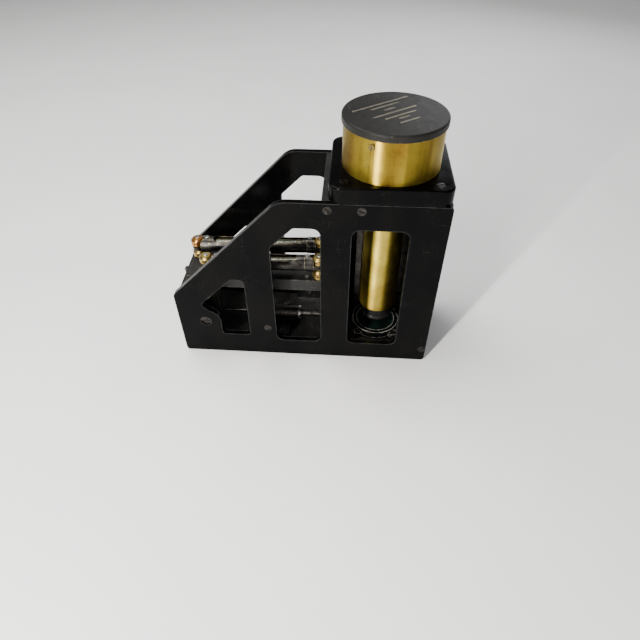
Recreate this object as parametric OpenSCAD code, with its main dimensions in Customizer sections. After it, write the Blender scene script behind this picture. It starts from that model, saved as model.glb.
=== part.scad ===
// Plate-framed optical instrument: a vertical tube in a focusing drum on a plated tower,
// with two spirit levels on a tilting cradle in the sloping nose of the same frame.
// Millimetres. The origin is the middle of the base's underside, +Z up, the nose toward -X.

/* [Frame] */
// Overall length of the frame
length = 229; // [180:1:280]
// Overall width across the side plates
width = 86; // [70:1:110]
// Height of the side plates
plate_top = 168; // [140:1:200]
// Thickness of each side plate
plate_t = 5; // [3:0.5:8]
// Thickness of the base plate
base_t = 6; // [4:0.5:10]
// Height of the side plates at the nose
nose_height = 70.4; // [50:0.1:90]
// Radius where the slope meets the top edge
slope_r = 18; // [8:1:30]
// Thickness of the cross plate in the nose
nose_t = 5; // [3:0.5:8]
// Height of the cross plate in the nose
nose_top = 64; // [40:1:68]
// Distance from the nose to the tower's inner wall
wall_x = 131; // [110:1:140]
// Thickness of the tower's inner wall
wall_t = 6; // [4:0.5:10]
// Thickness of the tower's end wall
end_t = 5; // [3:0.5:8]

/* [Plate windows] */
// Corner radius of the two tall windows
window_r = 6.8; // [3:0.1:12]
// Left and right edges of the middle window, from the nose
mid_window_x = [89.6, 130.6]; // [60:0.1:131]
// Left and right edges of the tower window, from the nose
tower_window_x = [155, 200]; // [150:0.1:220]
// Sill height of both tall windows
sill_z = 19; // [12:0.5:30]
// Head height of both tall windows
lintel_z = 145.5; // [120:0.5:155]
// Radius of the web left round the pivot boss
boss_r = 14.4; // [10:0.1:18]

/* [Head] */
// Height of the head block
block_h = 13; // [8:0.5:20]
// Size of the head block along X and Y
block_size = [93, 85]; // [80:0.1:92]
// Distance of the head block's middle from the nose
block_x = 182.5; // [178:0.1:184]
// Vertical corner radius of the head block
block_r = 10; // [4:0.5:16]
// Height of the round on the block's upper edge
block_round = 1.5; // [1:0.5:5]
// Distance of the drum axis from the nose
drum_x = 182.7; // [170:0.1:200]
// Outside radius of the focusing drum
drum_r = 38; // [30:0.5:42]
// Height of the drum's top rim
drum_top = 214.3; // [200:0.1:225]
// Wall thickness of the drum
drum_wall = 4; // [3:0.5:6]
// Radius of the dust cap
cap_r = 39.4; // [30:0.1:44]
// Thickness of the dust cap's top
cap_t = 5.2; // [3:0.1:8]

/* [Tube] */
// Outside radius of the brass tube
tube_r = 17.3; // [12:0.1:22]
// Height of the brass tube's lower end
tube_low = 37; // [28:0.5:60]
// Outside radius of the half-sleeve guide
guide_r = 23; // [20:0.5:26]
// Height of the guide's lower end
guide_low = 29; // [24:0.5:50]
// Radius of the black inner tube
inner_r = 13.6; // [9:0.1:15]
// Height of the inner tube's lower end
inner_low = 23; // [20:0.5:34]
// Outside radius of the ring cell on the floor
cell_r = 22.5; // [18:0.5:30]

/* [Levels] */
// Radius of each level's housing tube
level_r = 7.1; // [5:0.05:9]
// Radius of the caps on the levels' ends
end_r = 7.5; // [5:0.05:9]
// Height of the level axes at their left studs
level_z = 85.7; // [82:0.1:92]
// Tilt of the levels at rest, up toward the tower, in degrees
level_rise = 1.8; // [0:0.1:3]
// Distance of each level axis from the middle plane
level_y = 12.8; // [9:0.1:18]
// Left and right studs of the far level, from the nose
far_stud_x = [12.2, 127.5]; // [11:0.1:128]
// Left and right studs of the near level, from the nose
near_stud_x = [26, 127.5]; // [11:0.1:128]
// Radius of the capstan nuts
nut_r = 6.1; // [4:0.1:7]
// Height of each upper capstan nut
nut_h = 7.4; // [5:0.1:10]
// Distance from a stud to its level's window, on the near and the far level
slot_inset = [24.6, 20.6]; // [18:0.1:30]
// Width of the windows in the levels
level_slot_w = 9.6; // [4:0.1:10]

/* [Cradle] */
// Height of the cradle's upper face
deck_top = 73; // [66:0.5:76]
// Thickness of the cradle's plate
deck_t = 5; // [3:0.5:8]
// Left and right ends of the cradle, from the nose
deck_x = [7, 130.2]; // [6:0.1:130.3]
// Width of the cradle
deck_w = 38; // [30:1:50]
// Cradle pivot: distance from the nose, and height
pivot = [24.6, 39.4]; // [20:0.1:45]
// Distance of the tilt screw from the nose
tilt_x = 118; // [100:1:122]

/* [Plunger] */
// Height of the plunger axis
plunger_z = 14.8; // [12:0.1:20]
// Radius of the plunger rod
rod_r = 2.4; // [1.5:0.1:4]
// Radius of the plunger barrel
barrel_r = 6.6; // [4:0.1:8]
// Left and right ends of the barrel, from the nose
barrel_x = [83.5, 108.5]; // [82.5:0.5:110]
// Outside radius of the coil spring
spring_r = 4.5; // [3.5:0.1:6]
// Wire diameter of the coil spring
wire_d = 0.9; // [0.5:0.1:1.5]
// Number of coils in the spring
coils = 17; // [8:1:30]

/* [Hidden] */
$fn = 96;
over = 1;
fit = 0.05;
gap = 0.3;
slip = 0.05;
mid_y = width / 2;
block_top = plate_top + block_h;
drum_in = drum_r - drum_wall;
drum_low = plate_top + 3;
nose_fillet = 6;
heel_fillet = 3;
slope_run = plate_top - nose_height;
slope_shift = 37.2;
mid_shift = 36.3;
soft_r = 4;
tip_r = 2.5;
first_window_x = [38.8, 64.8];
first_window_z = [24, 90.5];
vertex_x = 22.6;
boss_hole = 5;
screw_r = 3;
screw_h = 2;
shank_r = 1.5;
slot_w = 0.8;
slot_d = 0.7;
slot_turn = 40;
plate_screw_at = [[135.7, 162.2], [161.7, 162.3], [81.8, 34], [225.5, 14.5]];
head_screw_at = [35.6, 33];
stud_r = 1.9;
stud_show = 0.6;
lug_t = 3.6;
lug_drop = 2.4;
lug_play = 0.5;
lug_w = 10;
lug_r = 5.7;
end_start = 4.4;
end_l = 8;
deck_screw_x = [46, 116.4];
wall_window_y = [22, 64];
wall_window_z = [64, 108];
studs = [near_stud_x, far_stud_x];
sides = [-1, 1];
small_head_r = 1.9;
small_head_h = 0.9;
small_shank_r = 1.3;
small_shank_l = 1.7;
deck_shank_l = 4;
end_screw_in = 5.4;
vial_in = 2;
vial_r = 5;
housing_in = 5.4;
low_nut_h = [7.6, 9];
nut_play = 0.6;
tommy_r = 0.9;
tommy_holes = 6;
tommy_turn = 15;
nut_round = 1;
rail_t = 4;
rail_h = 11.7;
pin_r = 3;
boss_eye_r = 8;
finger_w = 8;
finger_x = [20.5, 28];
finger_low = 9;
bar_z = 50;
bar_r = 4;
tilt_r = 2.5;
tilt_head_r = 5;
tilt_head_h = 6;
ledge_w = 16;
ledge_t = 5;
ledge_l = 20;
ledge_x = 106;
ledge_z = 42;
post_x = [74, 81];
post_w = 15;
post_top = 25;
post_screw_r = 2.2;
post_screw_h = 1.2;
post_shank_l = 4;
foot_t = 3;
foot_x = [70, 98];
foot_y = [18, 68];
foot_gap = 18;
foot_floor = 1;
foot_head_h = 2.4;
foot_shank_r = 2;
foot_shank_l = 0.6;
floor_show = 1;
foot_screw_at = [[92, 24.5], [92, 61.5], [76, 24.5], [76, 61.5]];
floor_screw_at = [[123, 14.5], [123, 71.5], [196, 17], [170, 17], [196, 69], [170, 69]];
tube_top = 188;
tube_in = 14.9;
inner_wall = 1.6;
inner_l = 52;
inner_lip = [0.8, 2.4];
inner_band_z = [tube_low + 4, inner_low + 44];
inner_band_l = [6, 8];
slit_z = inner_low + 30;
slit_t = 1.5;
slit_size = [0.8, 10];
collar_r = 19;
collar_z = [173, 186];
web_t = 8;
lens_z = 196;
lens_t = 6;
lens_edge = 3;
lens_play = 1;
seat_t = 2;
cell_h = 7;
cell_in = 18.5;
glass_t = 2.4;
cell_ear_r = 4.2;
cell_ear_out = 1;
cell_floor = 1.5;
cell_screw_out = 2;
cell_screw_r = 2;
cell_screw_h = 1;
cell_hole_floor = 1;
corners = [45:90:315];
spigot_l = 8;
spigot_t = 2;
cap_round = 1.6;
drum_screw_a = -116;
drum_screw_z = 208.8;
drum_screw_r = 2.4;
drum_head_h = 1.1;
drum_shank_r = 1.2;
drum_shank_l = 3.6;
pivot_sunk = 1.2;
pivot_head = 3.6;
pin_l = 23.2;
nose_screw_y = 50;
nose_screw_z = 59.5;
nose_screw_out = 4;
nose_screw_collar = [1, 1.5];
head_shank_l = 8;
tilt_show = 1;
barrel_neck = [1, 3];
ring_size = [0.5, 2.4];

// Places its children at a point given from the nose, the near face and the underside.
module at(x, y, z) {
    translate([x - length / 2, y - width / 2, z]) children();
}

// A block between two corners given from the nose, the near face and the underside.
module span(low, high) {
    at(low[0], low[1], low[2]) cube(high - low);
}

// Unit vector.
function unit(v) = v / norm(v);

// Half the angle at corner b between its neighbours a and c.
function half_angle(a, b, c) = acos(unit(a - b) * unit(c - b)) / 2;

// Centre of the round of radius r in corner b.
function round_at(a, b, c, r) =
    b + unit(unit(a - b) + unit(c - b)) * r / sin(half_angle(a, b, c));

// Point where that round leaves the edge from b toward a.
function leave_at(a, b, c, r) = b + unit(a - b) * r / tan(half_angle(a, b, c));

// Convex outline whose corners are [x, y, radius].
module rounded_outline(corners) {
    n = len(corners);
    p = [for (c = corners) [c[0], c[1]]];
    cut = [for (i = [0:n - 1], side = [0, 1])
        let (a = p[(i + n - 1) % n], b = p[i], c = p[(i + 1) % n], r = corners[i][2])
        side == 0 ? leave_at(a, b, c, r) : leave_at(c, b, a, r)];
    union() {
        polygon(cut);
        for (i = [0:n - 1])
            translate(round_at(p[(i + n - 1) % n], p[i], p[(i + 1) % n], corners[i][2]))
                circle(r = corners[i][2]);
    }
}

// Outline of the first window, with the web round the pivot boss left in.
module first_window() {
    foot_z = vertex_x + slope_shift - (first_window_x[0] - vertex_x);
    difference() {
        rounded_outline([
            [first_window_x[0], first_window_z[0], tip_r],
            [first_window_x[1], first_window_z[0], soft_r],
            [first_window_x[1], first_window_z[1], soft_r],
            [first_window_z[1] - slope_shift, first_window_z[1], soft_r],
            [vertex_x, vertex_x + slope_shift, tip_r],
            [first_window_x[0], foot_z, tip_r]
        ]);
        translate(pivot) circle(r = boss_r);
    }
}

// Outline of the middle window.
module middle_window() {
    rounded_outline([
        [mid_window_x[0], sill_z, window_r],
        [mid_window_x[1], sill_z, window_r],
        [mid_window_x[1], lintel_z, window_r],
        [lintel_z - mid_shift, lintel_z, soft_r],
        [mid_window_x[0], mid_window_x[0] + mid_shift, soft_r]
    ]);
}

// Outline of the tower window.
module tower_window() {
    rounded_outline([
        [tower_window_x[0], sill_z, window_r],
        [tower_window_x[1], sill_z, window_r],
        [tower_window_x[1], lintel_z, window_r],
        [tower_window_x[0], lintel_z, window_r]
    ]);
}

// Outline of a side plate with its windows.
module plate_outline(tower_open) {
    difference() {
        rounded_outline([
            [0, 0, heel_fillet],
            [length, 0, heel_fillet],
            [length, plate_top, tip_r],
            [slope_run, plate_top, slope_r],
            [0, nose_height, nose_fillet]
        ]);
        first_window();
        middle_window();
        if (tower_open) tower_window();
        translate(pivot) circle(r = boss_hole);
        for (p = plate_screw_at)
            translate(p) circle(r = shank_r + slip);
    }
}

// A side plate standing on the X axis, its outer face toward -Y.
module side_plate(tower_open) {
    difference() {
        translate([0, plate_t, 0]) rotate([90, 0, 0])
            linear_extrude(plate_t) plate_outline(tower_open);
        for (p = plate_screw_at)
            translate([p[0], 0, p[1]]) rotate([-90, 0, 0]) translate([0, 0, -over])
                cylinder(r = screw_r + slip, h = screw_h + over);
    }
}

// A slotted screw whose head's top is at the origin, its shank down.
module slotted_screw(r, h, shank, depth) {
    difference() {
        union() {
            translate([0, 0, -h]) cylinder(r = r, h = h);
            translate([0, 0, -h - depth]) cylinder(r = shank, h = depth);
        }
        translate([-r - over, -slot_w / 2, -slot_d]) cube([2 * (r + over), slot_w, slot_d + over]);
    }
}

// A capstan nut standing on the origin, with tommy holes and a bore.
module capstan_nut(r, h, bore) {
    difference() {
        rotate_extrude() polygon([
            [0, 0], [r - nut_round, 0], [r, nut_round], [r, h - 2 * nut_round],
            [r - 2 * nut_round, h], [0, h]
        ]);
        translate([0, 0, -over]) cylinder(r = bore, h = h + 2 * over);
        for (k = [0:tommy_holes - 1])
            rotate([0, 0, tommy_turn + k * 360 / tommy_holes])
                translate([(r + bore) / 2, 0, (h - nut_round) / 2])
                    rotate([0, 90, 0]) cylinder(r = tommy_r, h = r);
    }
}

// --- fixed frame ---------------------------------------------------------------

module side_plate_near() {
    color("black") at(0, 0, 0) side_plate(true);
}

module side_plate_far() {
    color("black") at(0, width, 0) mirror([0, 1, 0]) side_plate(false);
}

module base_plate() {
    color("dimgray") difference() {
        span([0, plate_t, 0], [length, width - plate_t, base_t]);
        for (p = floor_screw_at)
            at(p[0], p[1], base_t - screw_h) cylinder(r = screw_r + slip, h = screw_h + over);
    }
}

module nose_plate() {
    color("dimgray") difference() {
        span([0, plate_t, base_t], [nose_t, width - plate_t, nose_top]);
        at(-over, nose_screw_y, nose_screw_z) rotate([0, 90, 0])
            cylinder(r = shank_r + slip, h = nose_t + 2 * over);
    }
}

module tower_inner_wall() {
    color("dimgray") difference() {
        span([wall_x, plate_t, base_t], [wall_x + wall_t, width - plate_t, plate_top]);
        at(wall_x - over, mid_y, plunger_z) rotate([0, 90, 0])
            cylinder(r = rod_r + fit, h = wall_t + 2 * over);
        span([wall_x - over, wall_window_y[0], wall_window_z[0]],
             [wall_x + wall_t + over, wall_window_y[1], wall_window_z[1]]);
    }
}

module tower_end_wall() {
    color("dimgray") span([length - end_t, plate_t, base_t], [length, width - plate_t, plate_top]);
}

// The head block, its upright corners and its upper edge rounded.
module block_solid() {
    x = block_size[0];
    y = block_size[1];
    r = block_r;
    core = block_h - block_round;
    for (s = [0, 1])
        translate([s == 0 ? -x / 2 + r : -x / 2, s == 0 ? -y / 2 : -y / 2 + r, 0])
            cube([s == 0 ? x - 2 * r : x, s == 0 ? y : y - 2 * r, core]);
    for (i = sides, j = sides)
        translate([i * (x / 2 - r), j * (y / 2 - r), 0]) {
            cylinder(r = r, h = core);
            translate([0, 0, core]) rotate_extrude() intersection() {
                union() {
                    square([r - block_round, block_round]);
                    translate([r - block_round, 0]) circle(r = block_round);
                }
                square([r, block_round]);
            }
        }
    inset = block_round;
    translate([-x / 2 + r, -y / 2 + inset, 0]) cube([x - 2 * r, y - 2 * inset, block_h]);
    translate([-x / 2 + inset, -y / 2 + r, 0]) cube([x - 2 * inset, y - 2 * r, block_h]);
    for (j = sides)
        translate([-x / 2 + r, j * (y / 2 - inset), core]) rotate([0, 90, 0])
            cylinder(r = inset, h = x - 2 * r);
    for (i = sides)
        translate([i * (x / 2 - inset), y / 2 - r, core]) rotate([90, 0, 0])
            cylinder(r = inset, h = y - 2 * r);
}

module head_block() {
    color("black") difference() {
        at(block_x, mid_y, plate_top) block_solid();
        at(drum_x, mid_y, drum_low - gap) cylinder(r = drum_r + fit, h = block_h + over);
        at(drum_x, mid_y, plate_top - over) cylinder(r = guide_r + fit, h = block_h + over);
        for (i = sides, j = sides)
            at(drum_x + i * head_screw_at[0], mid_y + j * head_screw_at[1], block_top - screw_h) {
                cylinder(r = screw_r + slip, h = screw_h + over);
                translate([0, 0, -block_h]) cylinder(r = shank_r + slip, h = block_h + over);
            }
    }
}

module head_screws() {
    color("gray") for (i = sides, j = sides)
        at(drum_x + i * head_screw_at[0], mid_y + j * head_screw_at[1], block_top)
            rotate([0, 0, slot_turn * (i + j / 2)]) slotted_screw(screw_r, screw_h, shank_r, head_shank_l);
}

module plate_screws() {
    color("gray") for (p = plate_screw_at) {
        at(p[0], 0, p[1]) rotate([90, 0, 0]) rotate([0, 0, p[0]])
            slotted_screw(screw_r, screw_h - slip, shank_r, plate_t - screw_h);
        at(p[0], width, p[1]) rotate([-90, 0, 0]) rotate([0, 0, p[1]])
            slotted_screw(screw_r, screw_h - slip, shank_r, plate_t - screw_h);
    }
}

module tube_guide() {
    color("darkgoldenrod") at(drum_x, mid_y, 0) difference() {
        translate([0, 0, guide_low]) cylinder(r = guide_r, h = plate_top - guide_low);
        translate([0, 0, guide_low - over]) cylinder(r = tube_r + fit, h = plate_top);
        translate([-guide_r - over, -2 * guide_r, guide_low - over])
            cube([2 * (guide_r + over), 2 * guide_r, plate_top - guide_low + 2 * over]);
    }
}

module ring_cell() {
    color("silver") at(drum_x, mid_y, base_t) difference() {
        union() {
            cylinder(r = cell_r, h = cell_h);
            for (a = corners)
                rotate([0, 0, a]) translate([cell_r + cell_ear_out, 0, 0])
                    cylinder(r = cell_ear_r, h = foot_t);
        }
        translate([0, 0, cell_floor]) cylinder(r = cell_in, h = cell_h);
        for (a = corners)
            rotate([0, 0, a]) translate([cell_r + cell_screw_out, 0, cell_hole_floor])
                cylinder(r = shank_r + slip, h = foot_t);
    }
}

module ring_glass() {
    color("darkslategray") at(drum_x, mid_y, base_t + cell_floor)
        cylinder(r = cell_in - slip, h = glass_t);
}

module ring_screws() {
    color("gray") at(drum_x, mid_y, base_t + foot_t + cell_screw_h) for (a = corners)
        rotate([0, 0, a]) translate([cell_r + cell_screw_out, 0, 0])
            slotted_screw(cell_screw_r, cell_screw_h, shank_r, foot_t - cell_hole_floor);
}

module pivot_screws() {
    color("gray") for (s = [0, 1])
        at(pivot[0], s * width, pivot[1]) mirror([0, s, 0]) rotate([90, 0, 0])
            translate([0, 0, -pivot_sunk]) rotate([0, 0, slot_turn * (1 + s)])
                slotted_screw(boss_hole - slip, pivot_head, pin_r, pin_l);
}

module nose_screw() {
    color("gray") at(0, nose_screw_y, nose_screw_z) rotate([0, 90, 0]) {
        translate([0, 0, -nose_screw_out]) cylinder(r = shank_r, h = nose_screw_out + nose_t);
        translate([0, 0, nose_screw_collar[0] - nose_screw_out])
            cylinder(r = 2 * shank_r, h = nose_screw_collar[1]);
    }
}

module rest_ledge() {
    color("dimgray") {
        span([ledge_x, mid_y - ledge_w / 2, ledge_z - ledge_t],
             [wall_x, mid_y + ledge_w / 2, ledge_z]);
        span([wall_x - ledge_t, mid_y - ledge_w / 2, ledge_z - ledge_l],
             [wall_x, mid_y + ledge_w / 2, ledge_z]);
    }
}

// Moves its children to the middle of the post's top, on the side j.
module on_post(j) {
    at((post_x[0] + post_x[1]) / 2, mid_y + j * post_w / 4, post_top) children();
}

module rod_bracket() {
    color("dimgray") difference() {
        union() {
            span([foot_x[0], foot_y[0], base_t], [foot_x[1], foot_y[1], base_t + foot_t]);
            span([post_x[0], mid_y - post_w / 2, base_t], [post_x[1], mid_y + post_w / 2, post_top]);
        }
        span([post_x[1], mid_y - foot_gap / 2, base_t - over],
             [foot_x[1] + over, mid_y + foot_gap / 2, post_top]);
        at(post_x[0] - over, mid_y, plunger_z) rotate([0, 90, 0])
            cylinder(r = rod_r + fit, h = 2 * post_w);
        for (p = foot_screw_at)
            at(p[0], p[1], base_t + foot_floor) cylinder(r = screw_r + slip, h = foot_t);
        for (j = sides)
            on_post(j) translate([0, 0, -post_shank_l])
                cylinder(r = shank_r + slip, h = post_shank_l + over);
    }
}

module bracket_screws() {
    color("gray") {
        for (p = foot_screw_at)
            at(p[0], p[1], base_t + foot_floor + foot_head_h + foot_shank_l)
                rotate([0, 0, p[0] + p[1]])
                    slotted_screw(screw_r, foot_head_h, foot_shank_r, foot_shank_l);
        for (j = sides)
            on_post(j) translate([0, 0, post_screw_h])
                slotted_screw(post_screw_r, post_screw_h, shank_r, post_shank_l);
    }
}

module floor_screws() {
    color("gray") for (p = floor_screw_at)
        at(p[0], p[1], base_t + floor_show) rotate([0, 0, slot_turn * p[0] / length])
            slotted_screw(screw_r, screw_h, screw_r, floor_show);
}

// --- dust cap and focusing drum --------------------------------------------------

module dust_cap() {
    color("black") at(drum_x, mid_y, 0) rotate_extrude() union() {
        translate([0, drum_top]) square([cap_r - cap_round, cap_t]);
        translate([0, drum_top]) square([cap_r, cap_t - cap_round]);
        translate([cap_r - cap_round, drum_top + cap_t - cap_round]) circle(r = cap_round);
        translate([drum_in - fit - spigot_t, drum_top - spigot_l])
            square([spigot_t, spigot_l + over]);
    }
}

module drum_shell() {
    color("goldenrod") at(drum_x, mid_y, 0) difference() {
        rotate_extrude() difference() {
            translate([0, drum_low]) square([drum_r, drum_top - drum_low]);
            translate([-over, drum_low + web_t]) square([drum_in + over, drum_top]);
            translate([-over, drum_low - over]) square([collar_r + fit + over, web_t + 2 * over]);
        }
        rotate([0, 0, drum_screw_a]) translate([drum_in - over, 0, drum_screw_z])
            rotate([0, 90, 0]) cylinder(r = drum_shank_r + slip, h = drum_wall + 2 * over);
    }
}

module drum_screw() {
    color("gray") at(drum_x, mid_y, 0) rotate([0, 0, drum_screw_a])
        translate([drum_r + drum_head_h, 0, drum_screw_z]) rotate([0, 90, 0])
            slotted_screw(drum_screw_r, drum_head_h, drum_shank_r, drum_shank_l);
}

module lens_ring() {
    color("goldenrod") at(drum_x, mid_y, 0) rotate_extrude() {
        translate([drum_in - lens_edge - seat_t, lens_z - seat_t])
            square([lens_edge + seat_t, seat_t]);
        translate([drum_in - lens_edge, lens_z - seat_t])
            square([lens_edge, lens_t + seat_t]);
    }
}

module objective_lens() {
    color("lightblue") at(drum_x, mid_y, lens_z)
        cylinder(r = drum_in - lens_edge - slip, h = lens_t - lens_play);
}

// --- sliding tube ----------------------------------------------------------------

module brass_tube() {
    color("goldenrod") at(drum_x, mid_y, 0) rotate_extrude() difference() {
        union() {
            translate([0, tube_low]) square([tube_r, tube_top - tube_low]);
            translate([0, collar_z[0]]) square([collar_r, collar_z[1] - collar_z[0]]);
        }
        translate([-over, tube_low - over]) square([tube_in + over, tube_top]);
    }
}

module inner_tube() {
    color("black") at(drum_x, mid_y, 0) rotate_extrude() difference() {
        union() {
            translate([0, inner_low]) square([inner_r, inner_l]);
            for (i = [0, 1])
                translate([0, inner_band_z[i]]) square([tube_in - slip, inner_band_l[i]]);
            translate([0, inner_low]) square([inner_r + inner_lip[0], inner_lip[1]]);
        }
        translate([-over, inner_low - over])
            square([inner_r - inner_wall + over, inner_l + 2 * over]);
    }
}

module slit_disc() {
    color("silver") at(drum_x, mid_y, slit_z) difference() {
        cylinder(r = inner_r - inner_wall - slip, h = slit_t);
        translate([-slit_size[0] / 2, -slit_size[1] / 2, -over])
            cube([slit_size[0], slit_size[1], slit_t + 2 * over]);
    }
}

// --- tilting cradle ----------------------------------------------------------------

// Moves its children to the middle of the cradle's rail on the side s, at a height.
module on_rail(x, s, z) {
    at(x, mid_y + s * (deck_w - rail_t) / 2, z) children();
}

// A block on the rail of the side s between two [x, z] corners.
module rail_block(s, low, high) {
    on_rail(low[0], s, low[1]) translate([0, -rail_t / 2, 0])
        cube([high[0] - low[0], rail_t, high[1] - low[1]]);
}

module cradle_deck() {
    color("dimgray") difference() {
        union() {
            span([deck_x[0], mid_y - deck_w / 2, deck_top - deck_t],
                 [deck_x[1], mid_y + deck_w / 2, deck_top]);
            for (s = sides) {
                rail_block(s, [deck_x[0], deck_top - rail_h], [deck_x[1], deck_top]);
                rail_block(s, [pivot[0] - boss_eye_r, pivot[1]], [pivot[0] + boss_eye_r, deck_top]);
                on_rail(pivot[0], s, pivot[1]) rotate([90, 0, 0]) translate([0, 0, -rail_t / 2])
                    cylinder(r = boss_eye_r, h = rail_t);
            }
            at(pivot[0], mid_y + deck_w / 2 - rail_t / 2, bar_z) rotate([90, 0, 0])
                cylinder(r = bar_r, h = deck_w - rail_t);
            span([finger_x[0], mid_y - finger_w / 2, finger_low],
                 [finger_x[1], mid_y + finger_w / 2, bar_z]);
        }
        for (s = sides)
            on_rail(pivot[0], s, pivot[1]) rotate([90, 0, 0]) translate([0, 0, -rail_t])
                cylinder(r = pin_r + fit, h = 2 * rail_t);
        at(tilt_x, mid_y, deck_top - 2 * deck_t) cylinder(r = tilt_r + fit, h = 3 * deck_t);
        for (x = deck_screw_x, s = sides)
            at(x, mid_y + s * level_y, deck_top - deck_shank_l)
                cylinder(r = small_shank_r + slip, h = deck_shank_l + over);
        for (k = [0, 1], x = studs[k])
            at(x, mid_y + sides[k] * level_y, deck_top - 2 * deck_t)
                cylinder(r = stud_r + slip, h = 3 * deck_t);
    }
}

module deck_screws() {
    color("silver") for (x = deck_screw_x, s = sides)
        at(x, mid_y + s * level_y, deck_top + small_head_h) rotate([0, 0, x])
            slotted_screw(small_head_r, small_head_h, small_shank_r, deck_shank_l);
}

module level_studs() {
    color("silver") for (k = [0, 1], i = [0, 1])
        at(studs[k][i], mid_y + sides[k] * level_y, deck_top - deck_t)
            cylinder(r = stud_r, h = nut_low(k, i) + nut_h + stud_show - deck_top + deck_t);
}

module lower_nuts() {
    color("goldenrod") for (k = [0, 1], i = [0, 1])
        at(studs[k][i], mid_y + sides[k] * level_y, deck_top) rotate([0, 0, studs[k][i]])
            capstan_nut(nut_r, low_nut_h[i], stud_r + slip);
}

module tilt_knob() {
    color("goldenrod") at(tilt_x, mid_y, deck_top + gap)
        capstan_nut(tilt_head_r, tilt_head_h, tilt_r + fit);
}

module tilt_screw() {
    top = deck_top + gap + tilt_head_h + tilt_show;
    color("silver") at(tilt_x, mid_y, 0) difference() {
        translate([0, 0, ledge_z + gap]) cylinder(r = tilt_r, h = top - ledge_z - gap);
        translate([-tilt_r - over, -slot_w / 2, top - slot_d])
            cube([2 * (tilt_r + over), slot_w, slot_d + over]);
    }
}

// --- plunger ---------------------------------------------------------------------

module plunger_rod() {
    neck_x = barrel_x[1] - barrel_neck[1];
    color("gray") at(0, mid_y, plunger_z) rotate([0, 90, 0]) {
        translate([0, 0, finger_x[1] + gap])
            cylinder(r = rod_r, h = wall_x + wall_t - finger_x[1]);
        translate([0, 0, barrel_x[0]]) cylinder(r = barrel_r, h = neck_x - barrel_x[0]);
        translate([0, 0, neck_x]) cylinder(r = barrel_r - barrel_neck[0], h = barrel_neck[1]);
    }
}

module plunger_ring() {
    color("silver") at(barrel_x[1] - barrel_neck[1], mid_y, plunger_z) rotate([0, 90, 0])
        difference() {
            cylinder(r = barrel_r + ring_size[0], h = ring_size[1]);
            translate([0, 0, -over])
                cylinder(r = barrel_r - barrel_neck[0] + slip, h = ring_size[1] + 2 * over);
        }
}

module spring() {
    run = wall_x - barrel_x[1] - wire_d;
    color("silver") for (i = [0:coils - 1])
        at(barrel_x[1] + wire_d / 2 + i * run / (coils - 1), mid_y, plunger_z)
            rotate([0, 90, 0]) rotate_extrude()
                translate([spring_r - wire_d / 2, 0]) circle(r = wire_d / 2);
}

// --- spirit levels -------------------------------------------------------------------

// Places a level, drawn along X from its left stud, turned up by its rest tilt.
module on_level(k) {
    at(studs[k][0], mid_y + sides[k] * level_y, level_z) rotate([0, -level_rise, 0]) children();
}

// Distance between the studs of a level, along its own axis.
function reach(k) = (studs[k][1] - studs[k][0]) / cos(level_rise);

// Height of an upper nut's lower face: k is the level and i its left or right end.
function nut_low(k, i) =
    level_z + i * reach(k) * sin(level_rise) + lug_t / 2 - lug_drop + nut_play;

// A round bar along X.
module x_bar(from, to, r) {
    translate([from, 0, 0]) rotate([0, 90, 0]) cylinder(r = r, h = to - from);
}

// The slotted tube of a level.
module level_housing(k) {
    from = end_start + end_l;
    slot = [slot_inset[k], reach(k) - slot_inset[k]];
    color("dimgray") on_level(k) difference() {
        x_bar(from, reach(k) - from, level_r);
        x_bar(from - over, reach(k) - from + over, housing_in);
        for (x = slot)
            translate([x, 0, 0]) cylinder(r = level_slot_w / 2, h = 2 * level_r);
        translate([slot[0], -level_slot_w / 2, 0])
            cube([slot[1] - slot[0], level_slot_w, 2 * level_r]);
    }
}

// One end of a level: a cap on the tube and a lug round its stud at the origin.
module level_end() {
    lug_low = -lug_t / 2 - lug_drop;
    difference() {
        union() {
            x_bar(end_start, end_start + end_l, end_r);
            translate([0, 0, lug_low]) {
                cylinder(r = lug_r, h = lug_t);
                translate([0, -lug_w / 2, 0]) cube([end_start + over, lug_w, lug_t]);
            }
        }
        translate([0, 0, lug_low - over]) cylinder(r = stud_r + lug_play, h = lug_t + 2 * over);
        translate([0, 0, lug_low + lug_t]) cylinder(r = nut_r + nut_play, h = 2 * nut_h);
        translate([0, 0, lug_low - 2 * nut_h]) cylinder(r = nut_r + nut_play, h = 2 * nut_h);
        translate([end_start + end_screw_in, 0, end_r - small_shank_l])
            cylinder(r = small_shank_r + slip, h = small_shank_l + over);
    }
}

module level_ends(k) {
    color("dimgray") on_level(k) {
        level_end();
        translate([reach(k), 0, 0]) mirror([1, 0, 0]) level_end();
    }
}

module level_vial(k) {
    from = end_start + end_l + vial_in;
    color("khaki") on_level(k) x_bar(from, reach(k) - from, vial_r);
}

module level_screws(k) {
    from = end_start + end_screw_in;
    color("silver") on_level(k) for (x = [from, reach(k) - from])
        translate([x, 0, end_r + small_head_h]) rotate([0, 0, x])
            slotted_screw(small_head_r, small_head_h, small_shank_r, small_shank_l);
}

module far_level_tube() { level_housing(1); }
module far_level_ends() { level_ends(1); }
module far_vial() { level_vial(1); }
module far_level_screws() { level_screws(1); }
module near_level_tube() { level_housing(0); }
module near_level_ends() { level_ends(0); }
module near_vial() { level_vial(0); }
module near_level_screws() { level_screws(0); }

// An upper capstan nut on the stud at one end of a level.
module upper_nut(k, i, bore) {
    color("goldenrod") at(studs[k][i], mid_y + sides[k] * level_y, nut_low(k, i))
        capstan_nut(nut_r, nut_h, bore);
}

module nut_far_left() { upper_nut(1, 0, stud_r + fit); }
module nut_near_left() { upper_nut(0, 0, stud_r + fit); }
module nut_far_right() { upper_nut(1, 1, stud_r + gap); }
module nut_near_right() { upper_nut(0, 1, stud_r + gap); }

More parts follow.
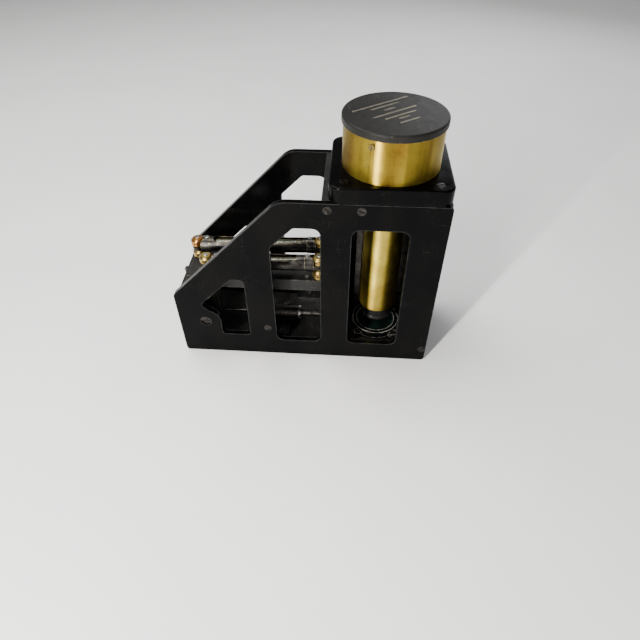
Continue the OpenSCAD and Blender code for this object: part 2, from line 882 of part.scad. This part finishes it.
side_plate_near();
side_plate_far();
base_plate();
nose_plate();
tower_inner_wall();
tower_end_wall();
head_block();
head_screws();
plate_screws();
tube_guide();
ring_cell();
ring_glass();
ring_screws();
pivot_screws();
nose_screw();
rest_ledge();
rod_bracket();
bracket_screws();
floor_screws();
dust_cap();
drum_shell();
drum_screw();
objective_lens();
lens_ring();
brass_tube();
inner_tube();
slit_disc();
cradle_deck();
deck_screws();
level_studs();
lower_nuts();
tilt_knob();
tilt_screw();
plunger_rod();
plunger_ring();
spring();
far_level_tube();
far_level_ends();
far_vial();
far_level_screws();
near_level_tube();
near_level_ends();
near_vial();
near_level_screws();
nut_far_left();
nut_near_left();
nut_far_right();
nut_near_right();
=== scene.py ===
import math

import bmesh
import bpy
from mathutils import Matrix, Vector


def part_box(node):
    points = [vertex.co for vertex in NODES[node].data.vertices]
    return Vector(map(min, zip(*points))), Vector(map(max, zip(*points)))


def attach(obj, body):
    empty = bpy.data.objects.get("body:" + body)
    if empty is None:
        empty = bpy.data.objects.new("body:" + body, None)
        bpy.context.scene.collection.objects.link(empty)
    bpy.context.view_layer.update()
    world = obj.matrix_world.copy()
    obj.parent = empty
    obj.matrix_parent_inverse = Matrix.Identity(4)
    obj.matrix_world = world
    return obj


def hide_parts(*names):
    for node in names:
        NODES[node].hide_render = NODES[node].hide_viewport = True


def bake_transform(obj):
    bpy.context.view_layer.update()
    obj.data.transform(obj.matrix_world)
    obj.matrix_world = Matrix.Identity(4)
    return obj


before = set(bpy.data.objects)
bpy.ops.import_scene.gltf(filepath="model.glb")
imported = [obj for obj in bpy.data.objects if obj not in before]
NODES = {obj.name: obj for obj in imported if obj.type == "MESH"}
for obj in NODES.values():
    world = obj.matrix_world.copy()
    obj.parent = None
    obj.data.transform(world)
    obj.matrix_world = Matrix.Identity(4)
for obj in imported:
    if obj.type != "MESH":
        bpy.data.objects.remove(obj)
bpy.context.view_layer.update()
MM = 0.001
FLAT_ANGLE = math.radians(0.3)
EDGE_ANGLE = math.radians(34)


# ---------------------------------------------------------------- materials


class Graph:
    """A node material under construction; its plain colour shows where the nodes aren't read."""

    def __init__(self, name, colour, metallic=0.0, roughness=0.4, **extra):
        self.mat = bpy.data.materials.new(name)
        self.mat.use_nodes = True
        self.tree = self.mat.node_tree
        self.bsdf = self.tree.nodes["Principled BSDF"]
        self.put("Base Color", (*colour, 1.0))
        self.put("Metallic", metallic)
        self.put("Roughness", roughness)
        for key, value in extra.items():
            self.put(key.replace("_", " ").title().replace("Ior", "IOR"), value)
        self.coords = self.tree.nodes.new("ShaderNodeTexCoord").outputs["Object"]

    def put(self, socket, value):
        self.bsdf.inputs[socket].default_value = value

    def link(self, a, b):
        self.tree.links.new(a, b)

    def mapped(self, scale):
        """The object's own coordinates, scaled along each axis."""
        node = self.tree.nodes.new("ShaderNodeMapping")
        node.inputs["Scale"].default_value = scale
        self.link(self.coords, node.inputs["Vector"])
        return node.outputs["Vector"]

    def noise(self, scale, detail=4.0, rough=0.55, stretch=(1, 1, 1), distort=0.0):
        node = self.tree.nodes.new("ShaderNodeTexNoise")
        node.inputs["Scale"].default_value = scale
        node.inputs["Detail"].default_value = detail
        node.inputs["Roughness"].default_value = rough
        node.inputs["Distortion"].default_value = distort
        self.link(self.mapped(stretch), node.inputs["Vector"])
        return node.outputs["Fac"]

    def specks(self, scale, size):
        """White where a random cell's centre is nearer than size."""
        node = self.tree.nodes.new("ShaderNodeTexVoronoi")
        node.inputs["Scale"].default_value = scale
        self.link(self.coords, node.inputs["Vector"])
        return self.ramp(node.outputs["Distance"], ((size * 0.6, 1.0), (size, 0.0)))

    def ramp(self, source, stops):
        """Colour ramp between two stops, each a position and a value or colour."""
        node = self.tree.nodes.new("ShaderNodeValToRGB")
        for element, (position, value) in zip(node.color_ramp.elements, stops):
            element.position = position
            rgb = value if isinstance(value, tuple) else (value,) * 3
            element.color = (*rgb, 1.0)
        self.link(source, node.inputs["Fac"])
        return node.outputs["Color"]

    def mix(self, fac, a, b):
        """Colour a, turning to colour b where fac is white."""
        node = self.tree.nodes.new("ShaderNodeMix")
        node.data_type = "RGBA"
        for socket, value in ((node.inputs[0], fac), (node.inputs[6], a), (node.inputs[7], b)):
            if isinstance(value, bpy.types.NodeSocket):
                self.link(value, socket)
            elif isinstance(value, tuple):
                socket.default_value = (*value, 1.0)
            else:
                socket.default_value = value
        return node.outputs[2]

    def math(self, op, a, b):
        node = self.tree.nodes.new("ShaderNodeMath")
        node.operation = op
        for socket, value in zip(node.inputs, (a, b)):
            if isinstance(value, bpy.types.NodeSocket):
                self.link(value, socket)
            else:
                socket.default_value = value
        return node.outputs[0]

    def broken(self, mask, noise, *stops):
        """A mask broken up by a ramp over noise."""
        return self.math("MULTIPLY", mask, self.ramp(noise, stops))

    def edges(self, radius, low=0.05, high=0.35):
        """White along edges, used for wear and for painted highlights: where a rounded normal leaves the
        true one.
        """
        bevel = self.tree.nodes.new("ShaderNodeBevel")
        bevel.samples = 6
        bevel.inputs["Radius"].default_value = radius
        geo = self.tree.nodes.new("ShaderNodeNewGeometry")
        dot = self.tree.nodes.new("ShaderNodeVectorMath")
        dot.operation = "DOT_PRODUCT"
        self.link(bevel.outputs["Normal"], dot.inputs[0])
        self.link(geo.outputs["Normal"], dot.inputs[1])
        away = self.math("SUBTRACT", 1.0, dot.outputs["Value"])
        return self.ramp(away, ((low, 0.0), (high, 1.0)))

    def colour(self, socket):
        self.link(socket, self.bsdf.inputs["Base Color"])

    def rough(self, source, low, high):
        """Roughness that runs from low to high with source."""
        self.link(self.ramp(source, ((0.3, low), (0.7, high))), self.bsdf.inputs["Roughness"])

    def bump(self, source, strength, distance):
        node = self.tree.nodes.new("ShaderNodeBump")
        node.inputs["Strength"].default_value = strength
        node.inputs["Distance"].default_value = distance
        self.link(source, node.inputs["Height"])
        self.link(node.outputs["Normal"], self.bsdf.inputs["Normal"])


def enamel():
    """Glossy black enamel: dusty, with a painted highlight along its edges, and chipped there."""
    gloss = {"specular_ior_level": 0.045, "coat_weight": 0.01, "coat_roughness": 0.04}
    g = Graph("black_enamel", (0.006, 0.006, 0.007), 0.0, 0.18, **gloss)
    smear = g.noise(26, 6, 0.62, (1, 1, 0.5))
    cloud = g.ramp(smear, ((0.42, (0.0007, 0.0007, 0.0008)), (0.72, (0.0026, 0.0025, 0.0023))))
    dust = g.broken(g.specks(900, 0.16), g.noise(60, 3), (0.52, 0.0), (0.66, 0.6))
    dusty = g.mix(dust, cloud, (0.12, 0.115, 0.10))
    # Painted highlight: a pale grey line along the edges, broken up by noise, in place of the light that
    # rounded edges catch.
    rim = g.broken(g.edges(0.0016, 0.03, 0.4), g.noise(120, 4), (0.3, 0.25), (0.6, 0.8))
    with_edge_highlight = g.mix(rim, dusty, (0.065, 0.068, 0.066))
    chips = g.broken(g.edges(0.0008), g.noise(300, 5, 0.7), (0.60, 0.0), (0.68, 1.0))
    g.colour(g.mix(chips, with_edge_highlight, (0.34, 0.30, 0.22)))
    g.rough(g.noise(40, 6, 0.65), 0.10, 0.26)
    g.bump(g.noise(420, 3, 0.5), 0.05, 0.0003)
    return g.mat


def satin_black():
    """Dull black paint with dust, worn to brass along its edges."""
    g = Graph("black_satin", (0.01, 0.01, 0.01), 0.0, 0.45, specular_ior_level=0.25)
    cloud = g.ramp(g.noise(90, 6, 0.65), ((0.3, (0.006, 0.006, 0.006)), (0.75, (0.012, 0.0115, 0.0105))))
    dust = g.broken(g.specks(700, 0.22), g.noise(70, 3), (0.5, 0.0), (0.6, 1.0))
    dusty = g.mix(dust, cloud, (0.18, 0.17, 0.15))
    worn = g.broken(g.edges(0.0008), g.noise(340, 4), (0.46, 0.0), (0.6, 1.0))
    g.colour(g.mix(worn, dusty, (0.28, 0.23, 0.15)))
    g.rough(g.noise(80, 5), 0.34, 0.56)
    g.bump(g.noise(900, 3, 0.6), 0.12, 0.0003)
    return g.mat


def cap_black():
    """Warm black lacquer, scuffed one way by handling."""
    g = Graph("cap_black", (0.02, 0.02, 0.02), 0.0, 0.42, specular_ior_level=0.16)
    grain = g.noise(60, 7, 0.68)
    cloud = g.ramp(grain, ((0.3, (0.006, 0.0057, 0.0048)), (0.8, (0.012, 0.0110, 0.0088))))
    scuff = g.broken(0.35, g.noise(500, 6, 0.7, (1, 0.12, 1)), (0.62, 0.0), (0.7, 1.0))
    rubbed = g.mix(scuff, cloud, (0.16, 0.145, 0.115))
    worn = g.broken(g.edges(0.0009), g.noise(220, 5), (0.48, 0.0), (0.62, 1.0))
    g.colour(g.mix(worn, rubbed, (0.34, 0.27, 0.16)))
    g.rough(g.noise(150, 5, 0.6), 0.40, 0.50)
    g.bump(g.noise(1200, 4, 0.6), 0.1, 0.0002)
    return g.mat


def brass(name, bright, brown, rough, streak=(1, 1, 1), amount=(0.42, 0.60), turned=0.0):
    """Lacquered brass: bright metal that drifts to brown, with dark spots, and lathe marks if turned."""
    along_axis = 0.25 if turned else 0.0
    g = Graph(name, bright, 1.0, 0.22, anisotropic=turned, anisotropic_rotation=along_axis)
    drift = g.noise(42, 5, 0.55, streak, 0.3)
    blotch = g.noise(60, 6, 0.66)
    both = g.math("ADD", g.math("MULTIPLY", drift, 0.72), g.math("MULTIPLY", blotch, 0.28))
    base = g.ramp(both, ((amount[0], bright), (amount[1], brown)))
    spots = g.broken(g.specks(560, 0.22), g.noise(130, 3), (0.5, 0.0), (0.6, 0.9))
    dark = tuple(0.3 * c for c in brown)
    g.colour(g.mix(spots, base, dark))
    g.rough(g.noise(150, 6, 0.66, streak), *rough)
    g.bump(g.noise(900, 3, 0.6, (0.2, 0.2, 4) if turned else (1, 1, 1)), 0.08, 0.0002)
    if turned:
        tangent = g.tree.nodes.new("ShaderNodeTangent")
        tangent.direction_type = "RADIAL"
        tangent.axis = "Z"
        g.link(tangent.outputs["Tangent"], g.bsdf.inputs["Tangent"])
    return g.mat


def rim_painted_highlight():
    """Blackened metal with a painted highlight along its edges: a pale colour there that is not metallic,
    so it stays bright under any light.
    """
    g = Graph("rim_painted_highlight", (0.03, 0.03, 0.028), 1.0, 0.34)
    base = g.ramp(g.noise(160, 6, 0.65), ((0.36, (0.016, 0.016, 0.015)), (0.72, (0.07, 0.068, 0.06))))
    # Painted highlight: along the rim's edges the colour turns pale and stops being metal, so the rim
    # looks lit under any light.
    edge_mask = g.broken(g.edges(0.0010, 0.01, 0.12), g.noise(260, 4), (0.25, 0.2), (0.5, 1.0))
    g.colour(g.mix(edge_mask, base, (0.80, 0.79, 0.70)))
    g.link(g.math("SUBTRACT", 1.0, edge_mask), g.bsdf.inputs["Metallic"])
    g.rough(g.noise(200, 5), 0.22, 0.42)
    g.bump(g.noise(1500, 3, 0.5), 0.06, 0.0002)
    return g.mat


def blackened():
    """Chemically blackened brass that shows through where it is rubbed."""
    g = Graph("blackened_brass", (0.05, 0.045, 0.04), 1.0, 0.32)
    base = g.ramp(g.noise(110, 6, 0.65), ((0.36, (0.014, 0.0135, 0.013)), (0.72, (0.055, 0.05, 0.044))))
    edge_mask = g.broken(g.edges(0.0007, 0.02, 0.2), g.noise(420, 4), (0.38, 0.0), (0.55, 1.0))
    g.colour(g.mix(edge_mask, base, (0.42, 0.33, 0.18)))
    g.rough(g.noise(200, 5), 0.22, 0.42)
    g.bump(g.noise(1500, 3, 0.5, (0.3, 1, 1)), 0.06, 0.0002)
    return g.mat


def steel(name, low, high, rough):
    """Steel that runs from low to high in colour, with a few rust stains."""
    g = Graph(name, high, 1.0, 0.3)
    base = g.ramp(g.noise(420, 5, 0.6), ((0.35, low), (0.65, high)))
    rust = g.ramp(g.noise(260, 5, 0.7), ((0.60, 0.0), (0.74, 0.7)))
    g.colour(g.mix(rust, base, (0.10, 0.06, 0.035)))
    g.rough(g.noise(500, 4), *rough)
    g.bump(g.noise(2200, 2, 0.5, (1, 1, 0.3)), 0.05, 0.0001)
    return g.mat


def clear_glass(name, tint, rough):
    """Clear glass with a faint tint, slightly duller in places."""
    g = Graph(name, tint, 0.0, rough, transmission_weight=1.0, ior=1.5, specular_ior_level=0.3)
    g.rough(g.noise(160, 4), rough, rough + 0.05)
    return g.mat


def dark_glass():
    """Dark greenish glass."""
    g = Graph("dark_glass", (0.01, 0.022, 0.02), 0.0, 0.06, coat_weight=0.3, coat_roughness=0.03)
    g.colour(g.ramp(g.noise(70, 5), ((0.4, (0.003, 0.007, 0.006)), (0.65, (0.012, 0.024, 0.020)))))
    g.rough(g.noise(200, 4), 0.05, 0.14)
    return g.mat


def spirit():
    """The olive spirit in a level's vial, seen through dull glass."""
    gloss = {"specular_ior_level": 0.2, "coat_weight": 0.15, "coat_roughness": 0.03}
    g = Graph("spirit", (0.62, 0.60, 0.36), 0.0, 0.16, **gloss)
    grain = g.noise(90, 4, 0.6, (0.3, 1, 1))
    g.colour(g.ramp(grain, ((0.35, (0.085, 0.082, 0.045)), (0.7, (0.18, 0.17, 0.105)))))
    g.rough(g.noise(240, 4), 0.1, 0.22)
    return g.mat


def pale_floor():
    """Plain pale paper."""
    g = Graph("floor", (0.8, 0.79, 0.77), 0.0, 0.7)
    g.colour(g.ramp(g.noise(9, 4), ((0.3, (0.86, 0.855, 0.85)), (0.7, (0.90, 0.895, 0.89)))))
    return g.mat


# Scales of a brass's grain: the smaller the last one, the longer its streaks along Z.
LONG_STREAK = (1, 1, 0.08)
SHORT_STREAK = (1, 1, 0.3)
OLD_STREAK = (1, 1, 0.4)

M = {
    "enamel": enamel(),
    "satin": satin_black(),
    "cap": cap_black(),
    "drum": brass(
        "drum_brass", (0.56, 0.43, 0.052), (0.20, 0.105, 0.012), (0.34, 0.44),
        LONG_STREAK, (0.38, 0.66), 1.0,
    ),
    "tube": brass(
        "tube_brass", (0.62, 0.49, 0.085), (0.27, 0.175, 0.02), (0.50, 0.60),
        SHORT_STREAK, (0.40, 0.62), 0.85,
    ),
    "nut": brass("nut_brass", (0.46, 0.34, 0.11), (0.22, 0.14, 0.045), (0.24, 0.42)),
    "copper": brass("nut_copper", (0.56, 0.27, 0.08), (0.25, 0.11, 0.03), (0.2, 0.4)),
    "bronze": brass(
        "dark_bronze", (0.15, 0.115, 0.04), (0.05, 0.037, 0.017), (0.34, 0.55),
        OLD_STREAK, (0.4, 0.7),
    ),
    "gilt": brass("gilt", (0.74, 0.66, 0.48), (0.50, 0.42, 0.27), (0.35, 0.5)),
    "blackened": blackened(),
    "rim": rim_painted_highlight(),
    "dark_steel": steel("dark_steel", (0.045, 0.042, 0.038), (0.14, 0.13, 0.12), (0.3, 0.5)),
    "black_steel": steel("black_steel", (0.012, 0.011, 0.010), (0.05, 0.046, 0.042), (0.22, 0.4)),
    "steel": steel("bright_steel", (0.46, 0.46, 0.44), (0.70, 0.70, 0.67), (0.2, 0.36)),
    "lens": clear_glass("lens_glass", (0.92, 0.96, 0.97), 0.02),
    "vial": clear_glass("vial_glass", (0.90, 0.92, 0.84), 0.16),
    "dark_glass": dark_glass(),
    "spirit": spirit(),
}


# ---------------------------------------------------------------- CAD nodes


def curved_faces(mesh):
    """For each face, whether it meets a neighbour at a slight angle, as on a round wall."""
    spots = [tuple(round(c, 6) for c in vertex.co) for vertex in mesh.vertices]
    shared = {}
    for face in mesh.polygons:
        corners = [spots[v] for v in face.vertices]
        for pair in zip(corners, corners[1:] + corners[:1]):
            shared.setdefault(frozenset(pair), []).append(face)
    curved = [False] * len(mesh.polygons)
    for faces in shared.values():
        if len(faces) != 2:
            continue
        first, second = faces
        if FLAT_ANGLE < first.normal.angle(second.normal, 0) < EDGE_ANGLE:
            curved[first.index] = curved[second.index] = True
    return curved


def soften(obj, width, segments):
    """Rounds an object's sharp edges and smooths the shading of its round walls."""
    weld = obj.modifiers.new("weld", "WELD")
    weld.merge_threshold = 1e-6
    bevel = obj.modifiers.new("edges", "BEVEL")
    bevel.width = width
    bevel.segments = segments
    bevel.limit_method = "ANGLE"
    bevel.angle_limit = EDGE_ANGLE
    normal = obj.modifiers.new("normals", "WEIGHTED_NORMAL")
    normal.keep_sharp = False
    obj.data.polygons.foreach_set("use_smooth", curved_faces(obj.data))


def dress(names, key, width, segments=2):
    """Gives CAD nodes a material and rounds their edges to a width in metres."""
    for name in names.split():
        obj = NODES[name]
        obj.data.materials.clear()
        obj.data.materials.append(M[key])
        soften(obj, width, segments)


dress("side_plate_near side_plate_far", "enamel", 0.0009, 3)
dress("head_block", "enamel", 0.0005)
dress("base_plate nose_plate tower_inner_wall tower_end_wall", "satin", 0.0005)
dress("rest_ledge rod_bracket cradle_deck inner_tube", "satin", 0.0004)
dress("head_screws plate_screws pivot_screws nose_screw tilt_knob", "black_steel", 0.00025)
dress("bracket_screws floor_screws", "dark_steel", 0.00025)
dress("ring_screws tilt_screw plunger_rod", "dark_steel", 0.00025)
dress("drum_screw", "bronze", 0.0002)
dress("far_level_screws near_level_screws deck_screws level_studs", "steel", 0.0002)
dress("plunger_ring slit_disc", "steel", 0.0002)
dress("dust_cap", "cap", 0.0004)
dress("drum_shell lens_ring", "drum", 0.0004)
dress("brass_tube", "tube", 0.0004)
dress("tube_guide", "blackened", 0.0004)
dress("ring_cell", "rim", 0.0005, 3)
dress("ring_glass", "dark_glass", 0.0002)
dress("objective_lens", "lens", 0.0003)
dress("far_level_tube near_level_tube far_level_ends near_level_ends", "blackened", 0.0003)
dress("lower_nuts nut_near_left nut_near_right nut_far_right", "nut", 0.0003)
dress("nut_far_left", "copper", 0.0003)


# ---------------------------------------------------------------- built pieces


def centre(node):
    """The middle of a node's box."""
    low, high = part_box(node)
    return (Vector(low) + Vector(high)) / 2


def new_piece(name, bm, key, body, replaced=(), smooth=True):
    """Makes a piece from a bmesh; with a body it rides on it."""
    mesh = bpy.data.meshes.new(name)
    bm.to_mesh(mesh)
    bm.free()
    obj = bpy.data.objects.new(name, mesh)
    bpy.context.scene.collection.objects.link(obj)
    mesh.materials.append(M[key])
    mesh.polygons.foreach_set("use_smooth", [smooth] * len(mesh.polygons))
    if body:
        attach(obj, body)
    if replaced:
        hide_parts(*replaced)
    return obj


def circle(bm, middle, u, v, radius, sides):
    """New vertices round a circle in the plane of the unit vectors u and v."""
    angles = [2 * math.pi * j / sides for j in range(sides)]
    return [bm.verts.new(middle + radius * (math.cos(a) * u + math.sin(a) * v)) for a in angles]


def bridge(bm, a, b):
    """Joins two rings of vertices; either may be a single point."""
    sides = max(len(a), len(b))
    for j in range(sides):
        k = (j + 1) % sides
        if len(a) == 1:
            bm.faces.new((a[0], b[k], b[j]))
        elif len(b) == 1:
            bm.faces.new((a[j], a[k], b[0]))
        else:
            bm.faces.new((a[j], a[k], b[k], b[j]))


def coil_along(t):
    """How far along its length the wire is, after a share t of its turns; the end turns lie close."""
    closed, close_pitch = 0.07, 0.35
    if t < closed:
        return close_pitch * t
    if t > 1 - closed:
        return 1 - close_pitch * (1 - t)
    return close_pitch * closed + (t - closed) * (1 - 2 * close_pitch * closed) / (1 - 2 * closed)


def coil_spring():
    """A helix with closed ends in place of the row of rings."""
    low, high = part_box("spring")
    mid = centre("spring")
    wire = 0.45 * MM
    radius = (high[2] - low[2]) / 2 - wire
    turns, steps, sides = 17, 28, 10
    start, end = low[0] + wire, high[0] - wire
    bm = bmesh.new()
    rings = []
    total = turns * steps
    for i in range(total + 1):
        t = i / total
        angle = 2 * math.pi * turns * t
        out = Vector((0, math.cos(angle), math.sin(angle)))
        place = Vector((start + (end - start) * coil_along(t), mid.y, mid.z)) + radius * out
        rings.append(circle(bm, place, out, Vector((1, 0, 0)), wire, sides))
    for a, b in zip(rings, rings[1:]):
        bridge(bm, a, b)
    bm.faces.new(rings[0][::-1])
    bm.faces.new(rings[-1])
    bmesh.ops.recalc_face_normals(bm, faces=bm.faces)
    obj = new_piece("coil_spring", bm, "dark_steel", None, ("spring",))
    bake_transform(obj)


coil_spring()


def lathe(profile, origin, axis, sides=64):
    """Turns (along, radius) points about an axis through origin; a radius of 0 is a point on the axis."""
    side = axis.orthogonal().normalized()
    other = axis.cross(side)
    bm = bmesh.new()
    rings = []
    for along, radius in profile:
        middle = origin + axis * along
        rings.append(circle(bm, middle, side, other, radius, sides) if radius else [bm.verts.new(middle)])
    for a, b in zip(rings, rings[1:]):
        bridge(bm, a, b)
    bmesh.ops.recalc_face_normals(bm, faces=bm.faces)
    return bm


def level_vial(side):
    """A sealed glass tube of spirit along its level's axis, which runs as its two nuts do."""
    node = f"{side}_vial"
    low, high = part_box(node)
    axis = (centre(f"nut_{side}_right") - centre(f"nut_{side}_left")).normalized()
    r = (high[1] - low[1]) / 2
    half = (high[0] - low[0] - 2 * r * axis.z) / (2 * axis.x)
    inner = r - 0.7 * MM
    nose = 2.2 * MM
    shell = [(0, 0), (0.2 * MM, 0.45 * r), (nose, 0.92 * r), (2 * nose, r)]
    fill = [(1.2 * MM, 0), (1.4 * MM, 0.4 * r), (nose + MM, 0.8 * inner), (2 * nose + MM, inner)]
    parts = (("vial_glass", "vial", shell, (node,)), ("spirit", "spirit", fill, ()))
    for part, key, ends, gone in parts:
        profile = [(x - half, y) for x, y in ends] + [(half - x, y) for x, y in reversed(ends)]
        shape = lathe(profile, centre(node), axis)
        new_piece(f"{side}_{part}", shape, key, f"{side}_level", gone)


for which in ("far", "near"):
    level_vial(which)


# Rows of ticks on the cap, each as (distance from the middle, length) in millimetres.
MARK_ROWS = ((17.8, 52), (12.8, 26), (7, 11), (0.9, 40), (-5.5, 28), (-9.9, 11), (-16, 18))
MARK_TURN = math.radians(37)


def cap_marks():
    """Rows of plain ticks let into the cap's top, every fourth one tall."""
    mid = centre("dust_cap")
    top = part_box("dust_cap")[1][2]
    pitch, wide = 2.0 * MM, 0.84 * MM
    short, tall = 1.3 * MM, 2.0 * MM
    sunk, proud = 0.1 * MM, 0.01 * MM
    bm = bmesh.new()
    for row, (offset, length) in enumerate(MARK_ROWS):
        count = int(length * MM / pitch)
        for i in range(count):
            x = mid.x + (i + 0.5 - count / 2) * pitch
            place = Matrix.Translation((x, mid.y + offset * MM, top + (proud - sunk) / 2))
            size = (wide, short if (i * 3 + row) % 4 else tall, sunk + proud, 1)
            bmesh.ops.create_cube(bm, size=1, matrix=place @ Matrix.Diagonal(size))
    bmesh.ops.rotate(bm, verts=bm.verts, cent=mid, matrix=Matrix.Rotation(MARK_TURN, 3, "Z"))
    new_piece("cap_marks", bm, "gilt", "cap", smooth=False)


cap_marks()


# ---------------------------------------------------------------- stage


def floor():
    """A square of plain floor just under the object."""
    half, below = 4.0, 0.0002
    corners = [(-half, -half, 0), (half, -half, 0), (half, half, 0), (-half, half, 0)]
    mesh = bpy.data.meshes.new("floor")
    mesh.from_pydata(corners, [], [(0, 1, 2, 3)])
    mesh.materials.append(pale_floor())
    obj = bpy.data.objects.new("floor", mesh)
    obj.location = (0, 0, -below)
    bpy.context.scene.collection.objects.link(obj)


floor()


def area(name, place, target, size, power, colour):
    """A soft rectangular light at a place, turned to a target."""
    data = bpy.data.lights.new(name, "AREA")
    data.shape = "RECTANGLE"
    data.size, data.size_y = size
    data.energy = power
    data.color = colour
    obj = bpy.data.objects.new(name, data)
    obj.location = place
    obj.rotation_euler = (Vector(target) - Vector(place)).to_track_quat("-Z", "Y").to_euler()
    bpy.context.scene.collection.objects.link(obj)


WARM, NEUTRAL, COOL = (1.0, 0.98, 0.95), (1.0, 0.99, 0.97), (0.95, 0.97, 1.0)

area("key", (-0.37, -0.68, 0.80), (0.03, 0.0, 0.13), (0.07, 0.5), 9, WARM)
area("strip", (-0.36, -0.68, 0.30), (0.07, 0.0, 0.15), (0.02, 0.34), 9, WARM)
area("top", (-0.45, 0.25, 1.3), (0.0, 0.0, 0.0), (0.9, 0.9), 24, NEUTRAL)
area("fill", (0.30, -1.0, 0.42), (0.07, 0.0, 0.10), (0.5, 0.4), 2.5, WARM)
area("rim", (0.5, 1.0, 0.55), (0.0, 0.0, 0.1), (0.7, 0.3), 2.5, COOL)


def studio_world():
    """Pale at the horizon and dim overhead, so that black gloss stays black from above."""
    world = bpy.data.worlds.new("studio")
    bpy.context.scene.world = world
    world.use_nodes = True
    tree = world.node_tree
    coords = tree.nodes.new("ShaderNodeTexCoord")
    split = tree.nodes.new("ShaderNodeSeparateXYZ")
    ramp = tree.nodes.new("ShaderNodeValToRGB")
    tree.links.new(coords.outputs["Generated"], split.inputs[0])
    tree.links.new(split.outputs["Z"], ramp.inputs["Fac"])
    tree.links.new(ramp.outputs["Color"], tree.nodes["Background"].inputs["Color"])
    horizon, overhead = ramp.color_ramp.elements
    horizon.position, horizon.color = 0.0, (0.62, 0.63, 0.64, 1)
    overhead.position, overhead.color = 0.5, (0.10, 0.10, 0.105, 1)


studio_world()


# ---------------------------------------------------------------- camera


def camera():
    """A camera at the photograph's angle, given as turns from looking along +Y."""
    place = (0.0381, -0.3712, 0.3732)
    yaw, pitch, roll = math.radians(-3.91), math.radians(44.72), math.radians(-0.21)
    ahead = Vector((math.sin(yaw) * math.cos(pitch), math.cos(yaw) * math.cos(pitch), -math.sin(pitch)))
    right = ahead.cross(Vector((0, 0, 1))).normalized()
    up = right.cross(ahead)
    turn = Matrix((right, up, -ahead)).transposed()
    data = bpy.data.cameras.new("camera")
    data.sensor_width = 36
    data.lens = 28.82
    data.clip_start = 0.01
    obj = bpy.data.objects.new("camera", data)
    obj.matrix_world = Matrix.Translation(place) @ (turn @ Matrix.Rotation(roll, 3, "Z")).to_4x4()
    bpy.context.scene.collection.objects.link(obj)
    bpy.context.scene.camera = obj


camera()
